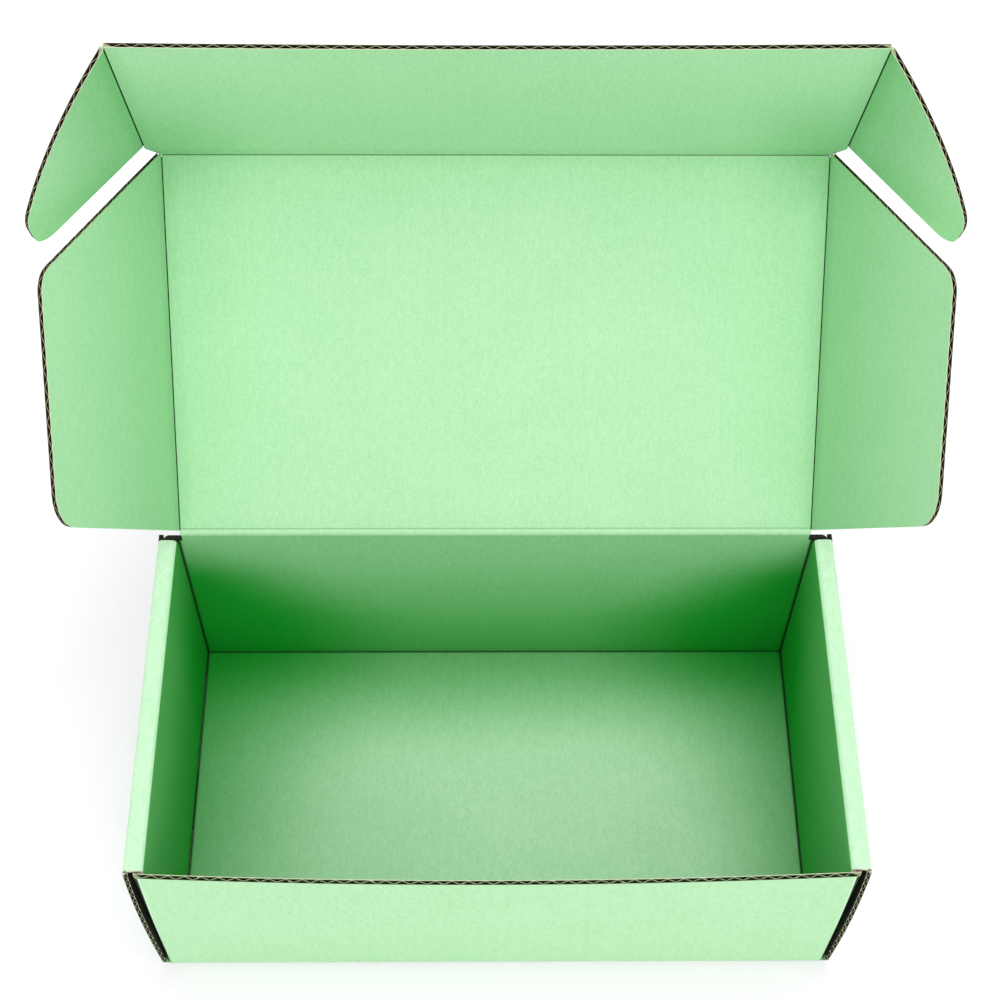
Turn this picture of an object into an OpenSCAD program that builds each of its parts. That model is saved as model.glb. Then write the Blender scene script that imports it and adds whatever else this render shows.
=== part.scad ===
// Roll-end mailer box folded from one sheet of fine corrugated board, standing open.
// Origin: centre of the base's underside. +Z up, +X to the box's right, +Y to its back wall.

/* [Board] */
// Thickness of the corrugated board
board_t = 1.6; // [1.2:0.1:1.8]
// Thickness of each liner and of the fluted medium between them
liner_t = 0.2; // [0.15:0.01:0.25]
// Length of one whole wave of the medium
flute_pitch = 5.4; // [4:0.1:8]
// Depth to which the flutes are open behind a cut edge
flute_depth = 4; // [2:0.5:5]
// Outer radius of a folded edge
fold_r = 1.8; // [1.6:0.1:2.4]

/* [Tray] */
// Width of the inside between the inner side panels
inner_w = 228.6; // [180:0.2:320]
// Depth of the inside from the front wall to the back wall
inner_d = 127; // [110:0.5:180]
// Height of the rolled side walls over the floor
wall_h = 88; // [82:0.5:120]
// Drop from the side walls' rim to the front wall's corners
front_drop = 1; // [0.6:0.1:6]
// Dip of the front wall's top edge at mid-width
front_dip = 7; // [1:0.5:20]
// Outward bow of the outer side panels
side_bow = 1.1; // [0.4:0.1:3]
// Amount by which the outer side panels lean in towards the base
side_lean = 0.6; // [0.1:0.1:1.5]
// Play of an ear of the tuck flap in its slot beside a corner flap
ear_play = 0.2; // [0.2:0.05:1]
// Distance from the front of the front wall back to the rolled band's end
band_setback = 2.3; // [1.7:0.1:6]
// Distance from the inside of the back wall forward to the rolled band's end
band_back_gap = 1.8; // [0.4:0.1:4]
// Distance from the front of the front wall back to the outer side panels' cut edges
side_setback = 1.6; // [0.2:0.1:2]
// Amount by which the front wall leans out from its foot to its top
front_lean = 1.6; // [0.4:0.1:2.4]
// Amount by which the front wall's corner flaps splay towards the base
corner_splay = 0.8; // [0.2:0.1:0.9]
// Length of the corner flaps that the side walls are rolled over
corner_flap_len = 55; // [20:1:60]
// Length of each tab that locks an inner side panel into the base
tab_len = 40; // [15:1:50]
// Distance between the centres of the two tabs on a side
tab_spacing = 64; // [52:1:68]

/* [Lid] */
// Distance from the inner side panels in to the creases of the lid's side flaps
crease_inset = 1.4; // [1:0.1:3]
// Gap between the closed tuck flap and the front wall
tuck_gap = 3.8; // [2.8:0.1:6]
// Angle that the lid is opened from closed
lid_open = 131.5; // [60:0.5:180]
// Height of the tuck flap from its crease to its free edge
tuck_h = 74.5; // [60:0.1:80]
// Dip of the tuck flap's free edge at mid-width
tuck_dip = 1.2; // [0.2:0.1:6]
// Rise of the relief cut at the tuck flap's lower corners
tuck_relief = 4.4; // [2:0.1:6]
// Bend of the tuck flap from flat
tuck_bend = 60; // [0:0.5:90]

/* [Ears] */
// Reach of an ear from its crease
ear_reach = 48.5; // [30:0.5:52]
// Distance from the tuck crease to an ear's lower edge
ear_low = 6.4; // [4.6:0.1:10]
// Distance from the tuck flap's free edge to an ear's end of crease
ear_top_inset = 1.4; // [0.5:0.1:6]
// Distance along the crease from the lower edge to the ear's farthest point
ear_nose = 11.6; // [10:0.1:16]
// Radius of the ear's lower outer corner
ear_corner_r = 7; // [2:0.5:9]
// Distance along the crease over which the nose rounds off
ear_nose_run = 10; // [8:0.5:14]
// Drop of the nose over that distance
ear_nose_drop = 2; // [1:0.1:2.6]
// Radius of the nose
ear_nose_r = 18; // [8:1:20]
// Outward bow of the ear's slanted edge
ear_bow = 4; // [0.5:0.5:8]
// Bend of the ears from flat
ear_bend = 48; // [0:0.5:50]

/* [Side flaps] */
// Width of the lid's side flaps
flap_w = 83; // [50:0.5:86]
// Slant of the flap's rear edge
flap_rear_slant = 16.8; // [5:0.2:25]
// Slant of the flap's front edge
flap_front_slant = 19.4; // [12:0.2:25]
// Distance past the tuck crease at which the line of that edge meets the flap's crease
flap_front_over = 0.8; // [0:0.1:3]
// Radius of the flap's rear corner
flap_rear_r = 14; // [4:1:30]
// Radius of the flap's front corner
flap_front_r = 8; // [3:0.5:16]
// Inside angle between the lid and its side flaps
flap_angle = 107; // [85:0.5:125]

/* [Hidden] */
$fn = 64;
inner_green = "#7cc47c";
eps = 0.01;
// Overlap of joined shapes, and overrun of cutting ones
lap = 1;
// Length over which the base's folded edges are rounded
edge_l = 3 * inner_w;
// Running gaps between panels that lie against each other or slide past
lie_gap = 0.1;
crease_gap = 0.1;
tab_gap = 0.3;
lid_gap = 0.3;
hinge_gap = 0.9;
under_band_gap = 0.5;
flap_front_gap = 1.2;
// Half sizes and levels of the tray
inner_hw = inner_w / 2;
inner_hd = inner_d / 2;
outer_hd = inner_hd + board_t;
rim_z = board_t + wall_h;
corner_hw = inner_hw + board_t + lie_gap + board_t;
ear_slot_w = board_t + ear_play;
outer_hw = corner_hw + ear_slot_w + board_t;
foot_hw = outer_hw - side_lean;
front_z = rim_z - front_drop;
corner_flap_z = rim_z - board_t - under_band_gap;
fold_in_r = fold_r - board_t;
// Lid hinge axis, at mid-thickness of the back wall and of the closed lid
hinge_y = inner_hd + board_t / 2;
hinge_z = rim_z + lid_gap + board_t / 2;
lid_len = hinge_y + outer_hd + tuck_gap;
// Crease lines of the flaps, measured on the inner face
flap_x = inner_hw - crease_inset;
ear_x = corner_hw + lie_gap;
// A closed side flap ends this far from the hinge axis, clear of the front wall
flap_u_max = hinge_y + inner_hd - flap_front_gap;
half_wave = flute_pitch / 2;

function unit(v) = v / norm(v);

// Points of a round corner of radius r at b, between the edges from a and to c
function corner(a, b, c, r, n = 6) =
    let (
        u = unit(a - b),
        w = unit(c - b),
        half = acos(u * w) / 2,
        centre = b + unit(u + w) * r / sin(half),
        first = b + u * r / tan(half) - centre,
        last = b + w * r / tan(half) - centre,
        turn = sign(first.x * last.y - first.y * last.x) * (180 - 2 * half)
    )
    [for (i = [0:n])
        let (t = turn * i / n)
        centre + [first.x * cos(t) - first.y * sin(t), first.x * sin(t) + first.y * cos(t)]];

// A path through [x, y, r] points, each inner point rounded by its r
function round_path(pts) =
    let (n = len(pts), p = [for (q = pts) [q.x, q.y]])
    [for (i = [0:n - 1])
        each (i == 0 || i == n - 1 || pts[i].z == 0 ? [p[i]] : corner(p[i - 1], p[i], p[i + 1], pts[i].z))];

// An arc from p to q that bows to the left of travel by sag, or to the right if sag is negative
function bow(p, q, sag, n = 12) =
    let (
        d = unit(q - p),
        side = [-d.y, d.x] * sign(sag),
        chord = norm(q - p),
        r = chord * chord / (8 * abs(sag)) + abs(sag) / 2,
        half = asin(chord / 2 / r),
        centre = (p + q) / 2 + side * (abs(sag) - r)
    )
    [for (i = [0:n])
        let (t = half * (2 * i / n - 1))
        centre + side * r * cos(t) + d * r * sin(t)];

// Distance along a path to each of its points
function distances(path) =
    [for (i = 0, s = 0; i < len(path); s = s + (i + 1 < len(path) ? norm(path[i + 1] - path[i]) : 0), i = i + 1) s];

// One void between a liner and the medium: wide at its liner, narrow where the medium turns
module flute(upper) {
    low = liner_t;
    high = board_t - liner_t;
    slant_t = liner_t * 1.2;
    wide = half_wave - slant_t;
    narrow = liner_t;
    base = upper ? high : low;
    tip = upper ? low + liner_t : high - liner_t;
    translate([0, flute_depth, 0])
        rotate([90, 0, 0])
            linear_extrude(flute_depth + eps)
                polygon([[-wide, base], [wide, base], [narrow, tip], [-narrow, tip]]);
}

// The open flutes along a cut edge, which has the board on the left of travel
module flutes(path) {
    s = distances(path);
    total = s[len(s) - 1];
    count = floor(total / half_wave) - 1;
    start = (total - (count - 1) * half_wave) / 2;
    for (k = [0:count - 1]) {
        at = start + k * half_wave;
        i = max([for (j = [0:len(path) - 2]) if (s[j] <= at) j]);
        d = unit(path[i + 1] - path[i]);
        p = path[i] + d * (at - s[i]);
        translate([p.x, p.y, 0])
            rotate(atan2(d.y, d.x))
                flute(k % 2 == 0);
    }
}

// A flat panel of board on the XY plane, with open flutes along the part of its outline in cut
module panel(outline, cut) {
    difference() {
        linear_extrude(board_t)
            polygon(outline);
        flutes(cut);
    }
}

// Turns a panel drawn on XY so that it stands on the XZ plane with its thickness towards -Y
module upright() {
    rotate([90, 0, 0])
        children();
}

module both_sides() {
    children();
    mirror([1, 0, 0])
        children();
}

// Takes the sharp edge off a fold that runs along X through the origin, board towards +Y and +Z
module fold_edge(length) {
    rotate([90, 0, 90])
        difference() {
            translate([-lap, -lap, -length / 2])
                cube([lap + fold_r, lap + fold_r, length]);
            translate([fold_r, fold_r, -length / 2 - lap])
                cylinder(r = fold_r, h = length + 2 * lap);
        }
}

// An end wall with the two corner flaps folded from it, its outside at y = 0.
// Each flap leans about the top of its fold, so that the fold is farther out at the base by splay.
module end_wall(height, half_w, splay) {
    y_end = corner_flap_len;
    in_x = half_w - board_t;
    leg_x = half_w - 4 * board_t;
    lean = asin(splay / height);
    translate([-leg_x - lap, 0, 0])
        cube([2 * (leg_x + lap), board_t, height]);
    both_sides()
        translate([half_w, 0, height])
            rotate([0, -lean, 0])
                translate([-half_w, 0, lie_gap - height])
                    linear_extrude(height - lie_gap)
                        polygon(round_path([
                            [half_w, y_end, 0], [half_w, 0, fold_r], [leg_x - lap, 0, 0],
                            [leg_x - lap, board_t, 0], [in_x, board_t, fold_in_r], [in_x, y_end, 0]
                        ]));
}

// What is cut away over and under a pair of corner flaps, from their wall's inside at y = 0 on
module corner_flap_trim() {
    for (z = [corner_flap_z, board_t + lie_gap - rim_z])
        translate([-outer_hw, 0, z])
            cube([2 * outer_hw, corner_flap_len + lap, rim_z]);
}

// Front wall: one thickness, its raw top edge dips in an arc and shows the flutes
module front_wall() {
    top = bow([corner_hw, front_z], [-corner_hw, front_z], front_dip, 24);
    far_x = corner_hw + lap;
    above = [[-far_x, front_z], [-far_x, rim_z + lap], [far_x, rim_z + lap], [far_x, front_z]];
    difference() {
        translate([0, -outer_hd, front_z])
            rotate([asin(front_lean / front_z), 0, 0])
                translate([0, 0, -front_z])
                    difference() {
                        end_wall(front_z, corner_hw, corner_splay);
                        translate([0, board_t + eps, 0])
                            upright()
                                linear_extrude(board_t + lap)
                                    polygon(concat(top, above));
                        translate([0, board_t, 0])
                            upright()
                                flutes(top);
                    }
        translate([0, -inner_hd, 0])
            corner_flap_trim();
    }
}

// Back wall: reaches up to the lid's crease between the flaps, and lower at its corner flaps.
// The crease's bead of crushed board runs along the hinge axis.
// Its corner flaps lie against the outer side panels.
module back_wall() {
    crease_z = hinge_z - hinge_gap;
    bead_r = hinge_gap - lid_gap;
    back_hw = outer_hw - board_t - 2 * lie_gap;
    translate([0, outer_hd, 0])
        mirror([0, 1, 0])
            difference() {
                end_wall(corner_flap_z, back_hw, lie_gap - side_lean);
                translate([0, board_t, 0])
                    corner_flap_trim();
            }
    translate([-flap_x, inner_hd, corner_flap_z - lap])
        cube([2 * flap_x, board_t, crease_z - corner_flap_z + lap]);
    translate([-flap_x, hinge_y - bead_r, crease_z - eps])
        cube([2 * flap_x, 2 * bead_r, hinge_gap + eps]);
    translate([-flap_x, hinge_y, hinge_z])
        rotate([0, 90, 0])
            cylinder(r = bead_r, h = 2 * flap_x);
}

// Outer side panel: bowed outwards, raw at its front edge
module outer_side() {
    z_top = rim_z - fold_r;
    outline = concat(
        bow([foot_hw, 0], [outer_hw, z_top], -side_bow),
        bow([outer_hw - board_t, z_top], [foot_hw - board_t, 0], side_bow)
    );
    translate([0, outer_hd, 0])
        upright()
            linear_extrude(2 * outer_hd - side_setback)
                polygon(outline);
}

// Open flutes along the front cut edge of the outer side panel
module outer_side_flutes() {
    count = floor((rim_z - fold_r - 2 * board_t) / half_wave);
    path = bow([foot_hw, board_t], [outer_hw, rim_z - fold_r], -side_bow, count);
    for (i = [0:count - 1]) {
        d = path[i + 1] - path[i];
        middle = (path[i] + path[i + 1]) / 2;
        translate([middle.x, side_setback - outer_hd, middle.y])
            rotate([0, -atan2(d.y, d.x), 0])
                flute(i % 2 == 0);
    }
}

// Band over the top, rolled from the outer panel to the inner one with two round folds
module rolled_band() {
    z_low = rim_z - fold_r - lap;
    in_out = inner_hw + board_t;
    outline = round_path([
        [outer_hw, z_low, 0], [outer_hw, rim_z, fold_r], [inner_hw, rim_z, fold_r], [inner_hw, z_low, 0],
        [in_out, z_low, 0], [in_out, rim_z - board_t, fold_in_r],
        [outer_hw - board_t, rim_z - board_t, fold_in_r], [outer_hw - board_t, z_low, 0]
    ]);
    y_back = inner_hd - band_back_gap;
    translate([0, y_back, 0])
        upright()
            linear_extrude(y_back + outer_hd - band_setback)
                polygon(outline);
}

// Inner side panel down to the floor, with two tabs that lock in slots of the base
module inner_side() {
    length = inner_d - 4 * lie_gap;
    z_low = board_t + lie_gap;
    translate([inner_hw, -length / 2, z_low])
        cube([board_t, length, rim_z - fold_r - z_low]);
    for (y = [-tab_spacing / 2, tab_spacing / 2])
        translate([inner_hw, y - tab_len / 2, 0])
            cube([board_t, tab_len, z_low + eps]);
}

module base_slots() {
    for (y = [-tab_spacing / 2, tab_spacing / 2])
        translate([inner_hw - tab_gap, y - tab_len / 2 - tab_gap, -lap])
            cube([board_t + 2 * tab_gap, tab_len + 2 * tab_gap, board_t + 2 * lap]);
}

// Base with front, back and rolled side walls: the part of the sheet that stays locked together
module tray() {
    color(inner_green) {
        difference() {
            union() {
                translate([-foot_hw, front_lean - outer_hd, 0])
                    cube([2 * foot_hw, 2 * outer_hd - front_lean, board_t]);
                front_wall();
                back_wall();
                both_sides()
                    outer_side();
            }
            both_sides() {
                base_slots();
                outer_side_flutes();
                translate([foot_hw, 0, 0])
                    rotate([0, 0, 90])
                        fold_edge(edge_l);
            }
            translate([0, front_lean - outer_hd, 0])
                fold_edge(edge_l);
            translate([0, outer_hd, 0])
                mirror([0, 1, 0])
                    fold_edge(edge_l);
        }
        both_sides() {
            rolled_band();
            inner_side();
        }
    }
}

// Frame of the lid: origin on the hinge axis at the inner face, lid towards -Y, outside up
module lid_frame() {
    translate([0, hinge_y, hinge_z])
        rotate([-lid_open, 0, 0])
            translate([0, 0, -board_t / 2])
                children();
}

// Frame of the tuck flap: origin on its crease, flap towards -Y
module tuck_frame() {
    lid_frame()
        translate([0, -lid_len, 0])
            rotate([tuck_bend, 0, 0])
                children();
}

module lid() {
    hw = flap_x - crease_gap;
    color(inner_green)
        lid_frame()
            translate([-hw, crease_gap - lid_len, 0])
                cube([2 * hw, lid_len - crease_gap - hinge_gap, board_t]);
}

// Tuck flap: relief cuts at its lower corners, raw free edge in a shallow dip
module tuck_flap() {
    hw = ear_x - crease_gap;
    low_hw = flap_x - crease_gap;
    free = bow([-hw, -tuck_h], [hw, -tuck_h], tuck_dip);
    outline = concat(free, [[hw, -tuck_relief], [low_hw, -crease_gap], [-low_hw, -crease_gap], [-hw, -tuck_relief]]);
    color(inner_green)
        tuck_frame()
            panel(outline, free);
}

// Right ear: straight lower edge, round nose and a long bowed edge back to the crease
module right_ear() {
    nose_y = -ear_low - ear_nose;
    shoulder = [ear_reach - ear_nose_drop, nose_y - ear_nose_run];
    outline = concat(
        bow([crease_gap, ear_top_inset - tuck_h], shoulder, -ear_bow),
        corner(shoulder, [ear_reach, nose_y - ear_nose_run / 2], [ear_reach, nose_y], ear_nose_r),
        corner([ear_reach, nose_y], [ear_reach, -ear_low], [crease_gap, -ear_low], ear_corner_r),
        [[crease_gap, -ear_low]]
    );
    color(inner_green)
        tuck_frame()
            translate([ear_x, 0, 0])
                rotate([0, ear_bend, 0])
                    panel(outline, outline);
}

module left_ear() {
    mirror([1, 0, 0])
        right_ear();
}

// Right side flap of the lid, slanted at both ends so that it swings into the tray
module right_side_flap() {
    rear_run = flap_w * tan(flap_rear_slant);
    front_run = flap_w * tan(flap_front_slant);
    front_y = -lid_len - flap_front_over;
    cut_x = (-flap_u_max - front_y) / tan(flap_front_slant);
    outline = round_path([
        [crease_gap, -flap_u_max, 0], [cut_x, -flap_u_max, 0], [flap_w, front_y + front_run, flap_front_r],
        [flap_w, -hinge_gap - rear_run, flap_rear_r], [crease_gap, -hinge_gap, 0]
    ]);
    color(inner_green)
        lid_frame()
            translate([flap_x, 0, 0])
                rotate([0, 180 - flap_angle, 0])
                    panel(outline, outline);
}

module left_side_flap() {
    mirror([1, 0, 0])
        right_side_flap();
}

tray();
lid();
tuck_flap();
left_ear();
right_ear();
left_side_flap();
right_side_flap();
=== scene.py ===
import math

import bmesh
import bpy
from mathutils import Matrix, Vector


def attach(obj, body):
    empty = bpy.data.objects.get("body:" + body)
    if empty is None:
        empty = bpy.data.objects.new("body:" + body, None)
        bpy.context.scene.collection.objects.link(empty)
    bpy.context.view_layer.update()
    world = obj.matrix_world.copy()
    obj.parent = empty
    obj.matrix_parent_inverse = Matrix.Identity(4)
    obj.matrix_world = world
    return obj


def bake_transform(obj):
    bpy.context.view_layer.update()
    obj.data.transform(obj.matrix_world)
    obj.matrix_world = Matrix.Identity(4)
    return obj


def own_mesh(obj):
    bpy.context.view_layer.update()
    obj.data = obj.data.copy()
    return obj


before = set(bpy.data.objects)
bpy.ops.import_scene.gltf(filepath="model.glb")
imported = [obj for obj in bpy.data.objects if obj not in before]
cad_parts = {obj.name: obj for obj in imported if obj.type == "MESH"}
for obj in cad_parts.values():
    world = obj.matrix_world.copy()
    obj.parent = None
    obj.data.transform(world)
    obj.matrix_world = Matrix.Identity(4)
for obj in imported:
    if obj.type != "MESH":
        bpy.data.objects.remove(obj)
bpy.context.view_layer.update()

# The tray is the base, the front and back walls and the two rolled side walls, all one
# sheet of fine corrugated board with green paper on both faces. The sides are rolled over
# the corner flaps and locked by tabs in the base, so nothing here is glued.
BOARD = 1.6
LINER = 0.2
FLUTE = 5.4


class Socket:
    """A shader output that adds Math nodes when it is used in a sum or a product."""

    def __init__(self, graph, output):
        self.graph, self.output = graph, output

    def math(self, operation, *others, clamp=False):
        values = [self, *others]
        return self.graph.add("ShaderNodeMath", {"operation": operation, "use_clamp": clamp},
                              dict(enumerate(values)))

    def __add__(self, other): return self.math("ADD", other)
    def __mul__(self, other): return self.math("MULTIPLY", other)
    def __sub__(self, other): return self.math("SUBTRACT", other)
    def __truediv__(self, other): return self.math("DIVIDE", other)
    def __gt__(self, other): return self.math("GREATER_THAN", other)
    def __lt__(self, other): return self.math("LESS_THAN", other)
    def __abs__(self): return self.math("ABSOLUTE")
    def __neg__(self): return self.math("MULTIPLY", -1.0)
    def __radd__(self, other): return self.math("ADD", other)
    def __rmul__(self, other): return self.math("MULTIPLY", other)
    def __rsub__(self, other): return -self + other

    def ramp(self, low, high):
        """0 below low, 1 above high and smooth between them; high may be the lower one."""
        return self.graph.add("ShaderNodeMapRange",
                              {"interpolation_type": "SMOOTHSTEP", "clamp": True},
                              {"Value": self, "From Min": low, "From Max": high,
                               "To Min": 0.0, "To Max": 1.0})

    def between(self, low, high, soft=0.04):
        return self.ramp(low - soft, low + soft) * self.ramp(high + soft, high - soft)

    def at_most(self, other): return self.math("MINIMUM", other)
    def at_least(self, other): return self.math("MAXIMUM", other)


class Graph:
    """The nodes of one material."""

    def __init__(self, name):
        self.material = bpy.data.materials.new(name)
        self.material.use_nodes = True
        self.nodes = self.material.node_tree.nodes
        self.links = self.material.node_tree.links
        self.nodes.clear()

    def add(self, kind, settings=None, inputs=None, out=0):
        node = self.nodes.new(kind)
        for key, value in (settings or {}).items():
            setattr(node, key, value)
        for key, value in (inputs or {}).items():
            socket = node.inputs[key]
            if isinstance(value, Socket):
                self.links.new(value.output, socket)
            else:
                socket.default_value = value
        return Socket(self, node.outputs[out]) if node.outputs else None

    def vector(self, operation, a, b=None, out=0):
        inputs = {0: a} if b is None else {0: a, 1: b}
        return self.add("ShaderNodeVectorMath", {"operation": operation}, inputs, out)

    def mix(self, share, a, b, blend="MIX"):
        """Colour a where share is 0, and colour b where it is 1."""
        settings = {"data_type": "RGBA", "blend_type": blend}
        return self.add("ShaderNodeMix", settings, {0: share, 6: a, 7: b}, out=2)

    def split(self, vector):
        return [self.add("ShaderNodeSeparateXYZ", {}, {0: vector}, out=k) for k in range(3)]

    def noise(self, place, scale, detail=2.0, roughness=0.5):
        return self.add("ShaderNodeTexNoise", {"noise_dimensions": "3D"},
                        {"Vector": place, "Scale": scale, "Detail": detail,
                         "Roughness": roughness})


def rgb(red, green, blue):
    """A linear colour from 0-255 screen values."""
    def linear(c):
        c /= 255
        return c / 12.92 if c <= 0.04045 else ((c + 0.055) / 1.055) ** 2.4
    return (linear(red), linear(green), linear(blue), 1)


PAPER_IN = rgb(187, 236, 187)
PAPER_OUT = rgb(188, 235, 187)
# Painted light: the paler paper of lit places.
LIT_PAPER = rgb(211, 249, 213)
# Painted shade: the deep green that shaded paper is multiplied towards.
SHADE_GREEN = rgb(14, 174, 60)
# Painted shade: the dark of the creases and of the corners between floor and walls.
CREASE_SHADE = rgb(16, 58, 20)
INNER_LINER_EDGE = rgb(236, 232, 206)
OUTER_LINER_EDGE = rgb(60, 66, 40)
MEDIUM_EDGE = rgb(170, 164, 130)
# Painted shade: the near black of cracks, hollows and unlit slots.
CAVITY_SHADE = rgb(12, 11, 6)
DARK_FLECK, PALE_FLECK = rgb(110, 168, 108), rgb(222, 246, 220)
EDGE_STAIN = rgb(104, 100, 66)
CRACK_REACH, PAPER_RELIEF = 0.0022, 0.00012


def board(graph, place, face_out, edge, depth, shade, crease, hollow=None, painted_light=0.0, unlit=None):
    """The board's surface: paper on its faces, and liners and medium on its cut edges.

    place is in mm with x across the flutes. face_out is 1 on the sheet's outside, edge is 1
    on a cut edge, where depth runs from 0 at the inner face to BOARD. shade is the share of
    painted shade, 1 where it is deepest in the box, crease is 1 where a crease, or a corner
    between the floor and walls, is painted dark as shade, hollow is 1 where the board is open
    between its liners, pale is 1 where painted light makes the paper paler, and unlit is 1 in
    a slot that no light reaches. Cracks, hollows and unlit slots are painted near black as
    shade."""
    streaked = graph.vector("MULTIPLY", place, (1.0, 0.34, 0.34))
    cloud = graph.noise(place, 0.035, 1.0)
    mottle = graph.noise(streaked, 0.7, 3.0, 0.65)
    grain = graph.noise(graph.vector("MULTIPLY", place, (1.0, 0.7, 0.7)), 1.25, 2.0, 0.7)
    fibre = graph.noise(streaked, 3.0, 2.0, 0.7)
    wash = (graph.split(place)[0] * (2 * math.pi / FLUTE)).math("SINE")

    # The paper's tone differs at random; wash adds a faint painted shade of the flute ripples,
    # which also make the bump.
    tone = (1.0 + (cloud - 0.5) * 0.10 + (mottle - 0.5) * 0.30 + (grain - 0.5) * 0.46
            + (fibre - 0.5) * 0.24 + wash * 0.006)
    paper = graph.mix(face_out, PAPER_IN, PAPER_OUT)
    # Painted light: paler paper where light is painted on.
    paper = graph.mix(painted_light, paper, LIT_PAPER)
    paper = graph.mix(1.0, paper, graph.add("ShaderNodeCombineColor", {}, {
        0: tone, 1: tone * 0.5 + 0.5, 2: tone}), "MULTIPLY")
    paper = graph.mix(grain.ramp(0.68, 0.80) * 0.20, paper, DARK_FLECK)
    paper = graph.mix(grain.ramp(0.34, 0.24) * 0.35, paper, PALE_FLECK)
    # Painted shade: the paper goes towards deep green where shade is 1.
    shaded = graph.mix(1.0, paper, SHADE_GREEN, "MULTIPLY")
    paper = graph.mix(shade, paper, shaded)
    # Painted shade: creases and corners go dark.
    paper = graph.mix(crease, paper, CREASE_SHADE)

    ragged = depth + (fibre - 0.5) * 0.10
    outer = ragged.ramp(BOARD - LINER - 0.08, BOARD - LINER + 0.08)
    inner = ragged.ramp(LINER + 0.12, LINER + 0.02)
    cut = graph.mix(inner, MEDIUM_EDGE, INNER_LINER_EDGE)
    cut = graph.mix(outer, cut, OUTER_LINER_EDGE)
    cut = graph.mix((mottle - 0.35) * 0.7, cut, EDGE_STAIN)
    colour = graph.mix(edge, paper, cut)

    # Painted shade: cracks and corners closer than CRACK_REACH, the hollows between the liners
    # and unlit slots go near black.
    crack = graph.add("ShaderNodeAmbientOcclusion", {"samples": 2, "only_local": True},
                      {"Distance": CRACK_REACH}, out=1)
    dark = crack.ramp(0.60, 0.16)
    if hollow:
        dark = dark.at_least(hollow * crack.ramp(0.93, 0.62))
    if unlit:
        dark = dark.at_least(unlit)
    colour = graph.mix(dark, colour, CAVITY_SHADE)

    height = grain * 0.7 + wash * 0.16
    bump = graph.add("ShaderNodeBump", {}, {"Strength": 0.34, "Distance": PAPER_RELIEF,
                                            "Height": height})
    rough = 0.86 + (mottle - 0.5) * 0.14
    surface = graph.add("ShaderNodeBsdfPrincipled", {}, {
        "Base Color": colour, "Roughness": rough, "Normal": bump, "Specular IOR Level": 0.22})
    graph.add("ShaderNodeOutputMaterial", {}, {"Surface": surface})
    return graph.material


def local_mm(graph):
    """Where a point of the surface is at rest, in mm, and which way it faces."""
    here = graph.add("ShaderNodeTexCoord", out=3)
    facing = graph.add("ShaderNodeTexCoord", out=1)
    return graph.vector("MULTIPLY", here, (1000.0, 1000.0, 1000.0)), facing


INNER_HALF_W, INNER_HALF_D = 114.3, 63.5
RIM_Z, FRONT_LEAN = 89.6, 1.6
DIP_Z = 72.0
SLOT_TOP, SLOT_BASE = 115.9, 119.0
PANEL_TOP, PANEL_FOOT, PANEL_LEAN, PANEL_BOW = 87.8, 118.8, 0.6, 1.1
BAND_BACK_Y = 61.7

g = Graph("tray board")
place, facing = local_mm(g)
x, y, z = g.split(place)
nx, ny, nz = g.split(facing)
wide = abs(x)
below = (RIM_Z - z).at_least(0.0)
inside_w = (INNER_HALF_W - wide).at_least(0.0)
inside_back = (INNER_HALF_D - y).at_least(0.0)
behind_front = y + (INNER_HALF_D + BOARD) - below * (FRONT_LEAN / RIM_Z)
in_from_front = behind_front > BOARD / 2

# Cut edges: the walls' tops, and the fronts and backs of the rolled sides
up_edge = (nz > 0.7) * (z > DIP_Z) * (z < RIM_Z - 0.7)
fold_line = SLOT_TOP + below * ((SLOT_BASE - SLOT_TOP) / RIM_Z)
by_fold = wide - fold_line
rise = z * (1 / PANEL_TOP)
panel_inside = PANEL_FOOT + rise * PANEL_LEAN + rise * (1 - rise) * 4 * PANEL_BOW
panel_edge = (abs(y + INNER_HALF_D) < 0.06) * (by_fold > 0.3)
band_edge = (y > -63.2) * (y < -60.0) * (z > RIM_Z - 2.3) * (wide > 113.0)
front_edge = (ny < -0.7) * panel_edge.at_least(band_edge)
back_edge = (ny > 0.7) * ((y < 64.0) * (y > 60.0)).at_least((wide > 118.2) * (y > 64.0))
edge = up_edge.at_least(front_edge).at_least(back_edge)
front_depth = BOARD - behind_front
side_depth = (wide - panel_inside).at_most(BOARD)
on_front = up_edge * (y < -63.0)
depth = g.add("ShaderNodeMix", {"data_type": "FLOAT"}, {0: on_front, 2: side_depth,
                                                       3: front_depth})
in_front = (y < -63.6) * (y > -64.9) * (z > DIP_Z) * (z < RIM_Z - 1.2) * (abs(ny) < 0.5)
in_side = ((y < -59.4) * (wide > panel_inside + 0.15) * (wide < panel_inside + 1.45)
           * (z < RIM_Z - 2.2) * (z > 2.0))
hollow = in_front.at_least(in_side)

# The slots beside the front wall's folds, and the gaps behind the bands, are painted dark as
# shade; a painted highlight runs beside each front fold, and the tops of the rolled bands are
# painted lighter as light falls on them
slot = (by_fold.ramp(0.0, 0.25) * (wide < panel_inside + 0.12) * (y < -20.0)
        * (z < RIM_Z - 1.7) * (1 - up_edge))
glint = by_fold.between(-0.5, -0.1, 0.12) * (ny < -0.5) * (y < -63.45) * (z > 2.0)
gap = (y > BAND_BACK_Y + 0.1) * (wide > 112.6) * (wide < 120.9) * (z > 86.5) * (ny < 0.7)
crown = ((nz > 0.35) * (z > RIM_Z - 1.9) * (wide > INNER_HALF_W - 0.1)
         * (y < BAND_BACK_Y + 0.05))

inside = (wide < INNER_HALF_W + 0.1) * in_from_front * (y < INNER_HALF_D + 0.1) * (z > 1.5)
outside = 1 - inside * (1 - (abs(nx) > 0.7))

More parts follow.
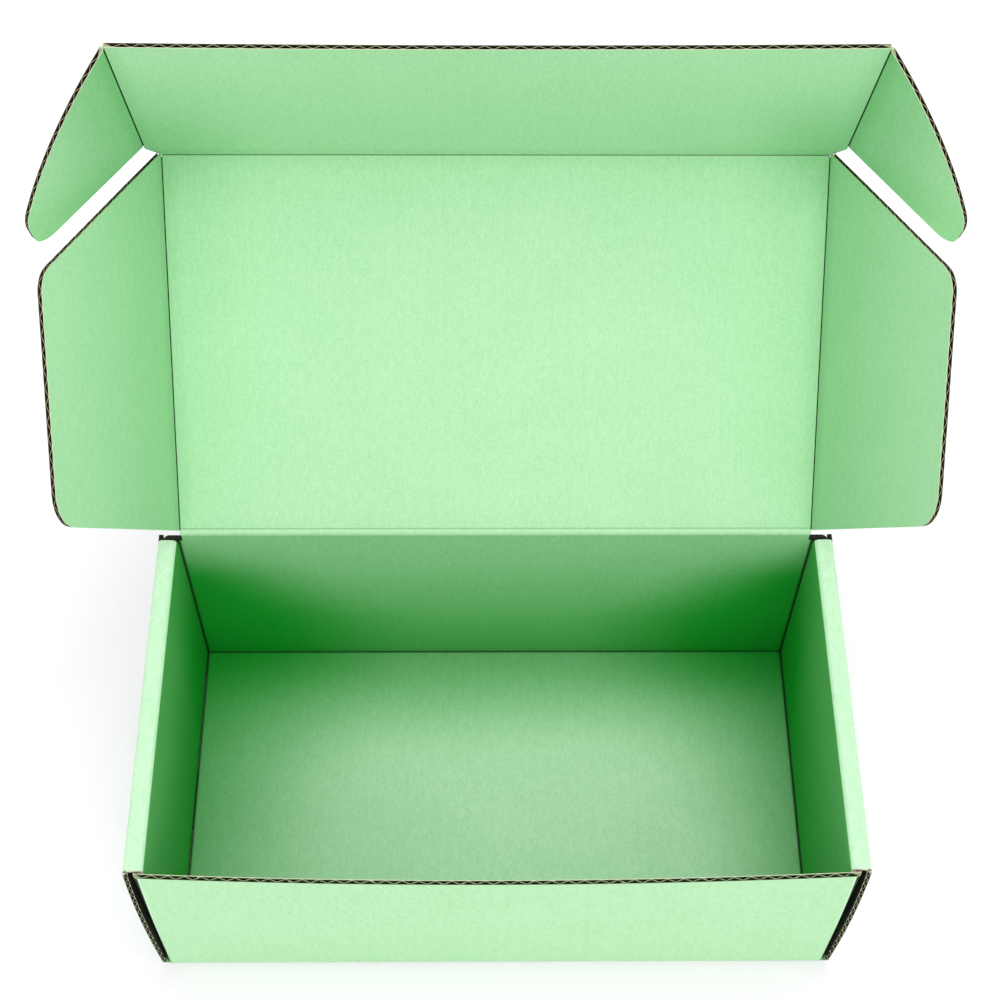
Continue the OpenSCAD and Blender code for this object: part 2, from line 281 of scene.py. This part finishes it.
# The photo's deep green shade: 1 - light on the floor and the back wall, and the sides' own
to_corner = (below.at_most(60.0) * 0.9 - inside_w).ramp(-35.0, 28.0) * below.ramp(0.0, 32.0)
back_light = (0.60 - below.ramp(0.0, 88.0) * 0.40) * (1 - to_corner * 0.97)
to_side = (inside_w + inside_back * 0.32).ramp(90.0, 0.0)
in_corner = inside_back.ramp(26.0, 0.0) * inside_w.ramp(90.0, 0.0)
floor_light = ((1 - inside_back.ramp(50.0, 0.0) * 0.62) * (1 - to_side * 0.76)
               * (1 - in_corner * 0.85) * (1 + x * 0.0016))
side_shade = (0.73 + below.ramp(0.0, 80.0) * 0.18 + inside_back.ramp(110.0, 40.0) * 0.06
              + inside_back.ramp(45.0, 12.0) * 0.08)
is_floor = nz > 0.7
is_side = abs(nx) > 0.7
shade = (is_side * side_shade + is_floor * (1 - floor_light)
         + (1 - is_side) * (1 - is_floor) * (1 - back_light)) * inside
# Painted shade: dark lines where the floor meets the walls and in the corners between walls.
base_line = is_floor * inside_w.ramp(1.3, 0.4).at_least(inside_back.ramp(0.9, 0.2))
corner_line = (1 - is_floor) * (1 - is_side) * inside_w.ramp(1.3, 0.4)
crease = base_line.at_least(corner_line) * inside * 0.95
# Painted light: the floor is painted paler towards its front, and so are the bands' tops and the
# fold highlights.
lit_floor = is_floor * inside * inside_back.ramp(5.0, 70.0) * 0.9
painted_light = (crown * 0.7).at_least(glint).at_least(lit_floor)
board(g, place, outside, edge, depth, shade.at_most(1.0), crease, hollow, painted_light,
      slot.at_least(gap) * 0.97)
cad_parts["tray"].data.materials.clear()
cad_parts["tray"].data.materials.append(g.material)

# The lid is the part of the same sheet behind the back wall, laid open. Its inside is plain
# green paper with pressed creases along three edges and a broad round fold at the hinge.
HINGE_Y, HINGE_Z = 64.3, 90.7
LID_LENGTH = 133.2
LID_OPEN = 131.5
FLAP_X, EAR_X = 112.9, 117.7


def turn(degrees, axis):
    return Matrix.Rotation(math.radians(degrees), 4, axis)


def shift(x=0.0, y=0.0, z=0.0):
    return Matrix.Translation((x, y, z))


# Each panel's own frame in mm: crease along Y, inner face at z 0 and outside at z BOARD
lid_frame = shift(y=HINGE_Y, z=HINGE_Z) @ turn(-LID_OPEN, "X") @ shift(z=-BOARD / 2)


def panel_material(name, panel_frame, creases, shade):
    """The board of a flat panel. creases are (coordinate, where, half width, darkness of its
    painted shade).
    """
    g = Graph(name)
    place, _ = local_mm(g)
    back = panel_frame.inverted()
    rows = [g.vector("DOT_PRODUCT", place, tuple(back[k][:3]), out=1) + back[k][3]
            for k in range(3)]
    local = g.add("ShaderNodeCombineXYZ", {}, dict(enumerate(rows)))
    depth = rows[2]
    edge = depth.between(0.03, BOARD - 0.03, 0.02)
    on_inside = depth < 0.05
    line = depth * 0.0
    near = depth * 0.0
    # Painted shade: a dark line on each crease, and softer shade up to 7 mm beside it.
    for axis, where, width, darkness in creases:
        away = abs(rows[axis] - where)
        line = line.at_least(away.ramp(width, width * 0.4) * darkness)
        near = near.at_least(away.ramp(7.0, 0.0) * darkness)
    soft = (near * 0.12 + shade(rows)) * on_inside
    board(g, local, depth > BOARD / 2, edge, depth, soft.at_most(1.0), line * on_inside,
          depth.between(LINER, BOARD - LINER, 0.02))
    return g.material


def give(node, material):
    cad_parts[node].data.materials.clear()
    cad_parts[node].data.materials.append(material)


def lid_shade(rows):
    top = (rows[1] + LID_LENGTH).ramp(26.0, 0.0)
    side = (FLAP_X - abs(rows[0])).ramp(34.0, 0.0)
    return top * 0.06 + side * 0.07 + top * side * 0.16


give("lid", panel_material("lid board", lid_frame, [
    (0, FLAP_X, 0.4, 1.0), (0, -FLAP_X, 0.4, 1.0), (1, -LID_LENGTH, 0.3, 0.7),
    (1, -1.6, 0.35, 0.3)], lid_shade))

# The tuck flap is folded up from the lid's front crease, and comes down over the front
# wall when the box is shut. Relief cuts at its lower corners let the side flaps pass.
TUCK_BEND, TUCK_HEIGHT = 60.0, 74.5
tuck_frame = lid_frame @ shift(y=-LID_LENGTH) @ turn(TUCK_BEND, "X")


def tuck_shade(rows):
    low = (rows[1] + TUCK_HEIGHT).ramp(0.0, TUCK_HEIGHT)
    side = (EAR_X - abs(rows[0])).ramp(46.0, 0.0)
    return 0.13 + low * 0.06 + side * 0.02 + side * low * 0.24


give("tuck_flap", panel_material("tuck flap board", tuck_frame, [
    (0, EAR_X, 0.4, 1.0), (0, -EAR_X, 0.4, 1.0), (1, 0.0, 0.3, 0.6)], tuck_shade))

# The two ears are folded in from the ends of the tuck flap. They slide into the slots
# beside the corner flaps and hold the shut lid down.
EAR_BEND, EAR_REACH = 48.0, 48.5


def ear_shade(rows):
    return 0.03 + abs(rows[0]).ramp(EAR_REACH, 0.0) * 0.43


ear_frames = {}
for side, name in ((1, "right_ear"), (-1, "left_ear")):
    ear_frames[side] = tuck_frame @ shift(x=side * EAR_X) @ turn(side * EAR_BEND, "Y")
    give(name, panel_material(name.replace("_", " ") + " board", ear_frames[side],
                              [(0, 0.0, 0.4, 1.0)], ear_shade))

# The lid's side flaps stand half open. Each is slanted at both ends, so that it swings
# down inside the tray's rolled side wall when the lid is shut.
FLAP_ANGLE, FLAP_WIDTH = 107.0, 83.0


def flap_shade(rows):
    return 0.06 + abs(rows[0]).ramp(FLAP_WIDTH, 0.0) * 0.22


flap_frames, flap_boards = {}, {}
for side, name in ((1, "right_side_flap"), (-1, "left_side_flap")):
    flap_frames[side] = (lid_frame @ shift(x=side * FLAP_X)
                         @ turn(side * (180 - FLAP_ANGLE), "Y"))
    flap_boards[side] = panel_material(name.replace("_", " ") + " board", flap_frames[side],
                                       [(0, 0.0, 0.4, 1.0)], flap_shade)
    give(name, flap_boards[side])


def block(bm, corners, low, high):
    """A flat block of board over a run of (x, y) corners, from height low to high, in mm."""
    floor = [bm.verts.new((x, y, low)) for x, y in corners]
    roof = [bm.verts.new((x, y, high)) for x, y in corners]
    n = len(corners)
    bm.faces.new(floor[::-1])
    bm.faces.new(roof)
    for k in range(n):
        bm.faces.new((floor[k], floor[(k + 1) % n], roof[(k + 1) % n], roof[k]))


# The last corner of each side flap's slant, up to the end of its crease. In the real box it
# gives way first when the lid is closed, so it folds flat against the rest of the flap; here
# it is a piece of its own that moves with the flap.
TIP_START, TIP_END, TIP_WIDTH = 126.6, 133.8, 20.9


def flap_tip(name, side):
    bm = bmesh.new()
    near, far = -TIP_START, -TIP_END
    fall = (far - near) / TIP_WIDTH
    crease_gap, set_back, core_short, thick = 0.12, 1.6, 5.2, 0.3
    corners = [(crease_gap, near), (TIP_WIDTH, near), (crease_gap, far)]
    block(bm, corners, 0.0, LINER)
    block(bm, corners, BOARD - LINER, BOARD)
    block(bm, [(crease_gap, near), (TIP_WIDTH - core_short, near),
               (crease_gap, far + set_back)], LINER, BOARD - LINER)
    pitch = FLUTE / 2
    for k in range(int(TIP_WIDTH / pitch)):
        left, right = k * pitch + 0.2, (k + 1) * pitch
        if k % 2:
            left, right = right, left
        quad = []
        for x, height in ((left, LINER), (left + thick, LINER),
                          (right + thick, BOARD - LINER), (right, BOARD - LINER)):
            x = min(max(x, crease_gap), TIP_WIDTH)
            front = far - fall * x + 0.05
            quad.append((bm.verts.new((x, front, height)),
                         bm.verts.new((x, min(front + set_back, near), height))))
        for a, b in zip(quad, quad[1:] + quad[:1]):
            bm.faces.new((a[0], b[0], b[1], a[1]))
        bm.faces.new([pair[0] for pair in quad])
        bm.faces.new([pair[1] for pair in quad][::-1])
    for vert in bm.verts:
        vert.co.x *= side
        vert.co = (flap_frames[side] @ vert.co) / 1000
    bmesh.ops.recalc_face_normals(bm, faces=bm.faces)
    mesh = bpy.data.meshes.new(name)
    bm.to_mesh(mesh)
    bm.free()
    mesh.materials.append(flap_boards[side])
    tip = bpy.data.objects.new(name, mesh)
    bpy.context.scene.collection.objects.link(tip)
    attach(tip, name.replace("_tip", ""))
    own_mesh(tip)


flap_tip("right_side_flap_tip", 1)
flap_tip("left_side_flap_tip", -1)

# At each fold that moves, the outer liner stretches round the crease from one panel to the
# next. Each is a strip of the same board, shaped round the fold as it stands at rest.
HINGE_GAP, STRIP_INSET = 0.9, 0.15


def strip(name, sections, pressed):
    """A closed strip through cross-sections of equal length, in mm.

    Its faces from the pressed one on, round the section, are the inside of the fold, which is
    painted dark as crease shade."""
    mesh = bpy.data.meshes.new(name)
    bm = bmesh.new()
    rings = [[bm.verts.new(Vector(p) / 1000) for p in ring] for ring in sections]
    n = len(rings[0])
    for a, b in zip(rings, rings[1:]):
        for k in range(n):
            face = bm.faces.new((a[k], a[(k + 1) % n], b[(k + 1) % n], b[k]))
            face.material_index = int(k >= pressed)
    bm.faces.new(rings[0][::-1])
    bm.faces.new(rings[-1])
    bmesh.ops.recalc_face_normals(bm, faces=bm.faces)
    bm.to_mesh(mesh)
    bm.free()
    piece = bpy.data.objects.new(name, mesh)
    bpy.context.scene.collection.objects.link(piece)
    mesh.materials.append(crease_board)
    mesh.materials.append(shaded_crease_board)
    return piece


def strip_material(name, crease):
    g = Graph(name)
    place, _ = local_mm(g)
    return board(g, place, 1.0, 0.0, g.split(place)[2] * 0.0, 0.0, crease)


# The inside of each fold is painted dark as crease shade.
crease_board = strip_material("crease board", 0.0)
shaded_crease_board = strip_material("pressed crease board", 1.0)


def wedge(name, body_a, frame_a, bend, axis, run, flattens_with=None):
    """The outside of a fold: a slice of a round bar about the crease line.

    It opens from frame_a's outside by bend degrees about that frame's axis. run is the
    strip's start and end along the crease, in frame_a. An ear folds out flat; its crease,
    given flattens_with, is attached to body_a, the tuck flap. The others stay where they stand."""
    steps, inner, outer = 8, 0.22, BOARD - 0.01
    along = {"X": 0, "Y": 1}[axis]
    lap = math.copysign(0.35, bend) if axis == "Y" else -0.35

    def point(degrees, out, across):
        p = Vector((0, 0, out))
        p[1 - along] = across
        return turn(degrees, axis) @ p

    ring = [point(bend * k / steps, outer, 0.0) for k in range(steps + 1)]
    ring = [point(0.0, outer, -lap), *ring, point(bend, outer, lap),
            point(bend, inner, lap), point(bend / 2, inner, 0.0), point(0.0, inner, -lap)]
    sections = []
    for end in run:
        reach = Vector([end if k == along else 0.0 for k in range(3)])
        sections.append([frame_a @ (p + reach) for p in ring])
    piece = strip(name, sections, steps + 2)
    if flattens_with:
        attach(piece, body_a)
        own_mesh(piece)
        return
    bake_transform(piece)


wedge("tuck_crease", "lid", lid_frame @ shift(y=-LID_LENGTH), TUCK_BEND, "X",
      (-FLAP_X + STRIP_INSET, FLAP_X - STRIP_INSET))
EAR_RUN = (-TUCK_HEIGHT + 1.5, -6.5)
FLAP_RUN = (-LID_LENGTH + 0.8, -1.0)
for side, word in ((1, "right"), (-1, "left")):
    wedge(word + "_ear_crease", "tuck_flap", tuck_frame @ shift(x=side * EAR_X),
          side * EAR_BEND, "Y", EAR_RUN, flattens_with=word + "_ear_hinge")
    wedge(word + "_flap_crease", "lid",
          lid_frame @ shift(x=side * FLAP_X), side * (180 - FLAP_ANGLE), "Y", FLAP_RUN)

# The lid's own crease is wider, because the back wall and the lid are one above the other
# when the box is shut: the crushed strip rolls round a bead on the hinge line.
bent = LID_OPEN - 90.0
ring = []
STEPS, END_SINK, HINGE_LAP = 10, 0.12, 0.3
for out, order in ((-BOARD / 2, range(STEPS + 1)), (BOARD / 2, range(STEPS, -1, -1))):
    for k in order:
        t = k / STEPS
        w = t * t * (3 - 2 * t)
        sink = END_SINK if k in (0, STEPS) else 0.0
        reach = (2 * t - 1) * (HINGE_GAP + HINGE_LAP)
        d = out * (1 - sink) - (0.03 if out < 0 and 0 < k < STEPS else 0.0)
        p = turn(-w * bent, "X") @ Vector((0, d, reach))
        ring.append(p)
sections = [[Vector((x, HINGE_Y + p.y, HINGE_Z + p.z)) for p in ring]
            for x in (-FLAP_X + STRIP_INSET, FLAP_X - STRIP_INSET)]
lid_crease = strip("lid_crease", sections, len(ring))
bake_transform(lid_crease)

# The studio: a pale seamless floor that keeps the box's soft shadow, even light from all
# round with two large softboxes, and the camera looking down into the box from the front.
floor_mesh = bpy.data.meshes.new("studio_floor")
bm = bmesh.new()
bmesh.ops.create_grid(bm, x_segments=2, y_segments=2, size=6.0)
bm.to_mesh(floor_mesh)
bm.free()
studio_floor = bpy.data.objects.new("studio_floor", floor_mesh)
bpy.context.scene.collection.objects.link(studio_floor)
studio_floor.location.z = -0.0001
g = Graph("studio floor")
seen = g.add("ShaderNodeLightPath", out=0)
matt = g.add("ShaderNodeBsdfDiffuse", {}, {"Color": (0.86, 0.86, 0.86, 1)})
from_box = g.vector("LENGTH", g.add("ShaderNodeTexCoord", out=3), out=1)
# The floor glows for the camera so that it reads white, but less near the box and less in green
# there: painted shade round the box, which also paints out the green light bounced off it.
near_glow = g.add("ShaderNodeEmission", {}, {"Color": (0.18, 0.12, 0.19, 1)})
far_glow = g.add("ShaderNodeEmission", {}, {"Color": (0.34, 0.34, 0.34, 1)})
glow = g.add("ShaderNodeMixShader", {}, {0: from_box.ramp(0.15, 0.36), 1: near_glow,
                                         2: far_glow})
both = g.add("ShaderNodeAddShader", {}, {0: matt, 1: glow})
shown = g.add("ShaderNodeMixShader", {}, {0: seen, 1: matt, 2: both})
g.add("ShaderNodeOutputMaterial", {}, {"Surface": shown})
floor_mesh.materials.append(g.material)

world = bpy.data.worlds.new("soft light")
bpy.context.scene.world = world
world.use_nodes = True
tree = world.node_tree
tree.nodes.clear()
sky = tree.nodes.new("ShaderNodeBackground")
sky.inputs["Color"].default_value = (1, 1, 1, 1)
sky.inputs["Strength"].default_value = 0.86
white = tree.nodes.new("ShaderNodeBackground")
white.inputs["Color"].default_value = (1, 1, 1, 1)
white.inputs["Strength"].default_value = 1.0
path = tree.nodes.new("ShaderNodeLightPath")
choose = tree.nodes.new("ShaderNodeMixShader")
tree.links.new(path.outputs["Is Camera Ray"], choose.inputs[0])
tree.links.new(sky.outputs[0], choose.inputs[1])
tree.links.new(white.outputs[0], choose.inputs[2])
tree.links.new(choose.outputs[0], tree.nodes.new("ShaderNodeOutputWorld").inputs["Surface"])


def softbox(name, place, aim, size, power):
    light = bpy.data.lights.new(name, "AREA")
    light.shape, light.size, light.energy = "SQUARE", size, power
    lamp = bpy.data.objects.new(name, light)
    bpy.context.scene.collection.objects.link(lamp)
    lamp.location = place
    lamp.rotation_mode = "QUATERNION"
    lamp.rotation_quaternion = (Vector(place) - Vector(aim)).to_track_quat("Z", "Y")
    return lamp


softbox("front softbox", (0.35, -1.85, 1.5), (0, 0.05, 0.1), 1.4, 12)
softbox("top softbox", (0.2, 0.2, 2.4), (0, 0, 0.05), 1.2, 9)

camera_data = bpy.data.cameras.new("camera")
camera_data.lens = 66.395
camera_data.sensor_width = 36
camera_data.shift_y = 0.02
camera = bpy.data.objects.new("camera", camera_data)
bpy.context.scene.collection.objects.link(camera)
camera.matrix_world = (shift(-0.00475, -0.28298, 0.65287) @ turn(-1.011, "Z")
                       @ turn(90 - 57.916, "X") @ turn(0.799, "Z"))
bpy.context.scene.camera = camera
bpy.context.scene.view_settings.view_transform = "Standard"
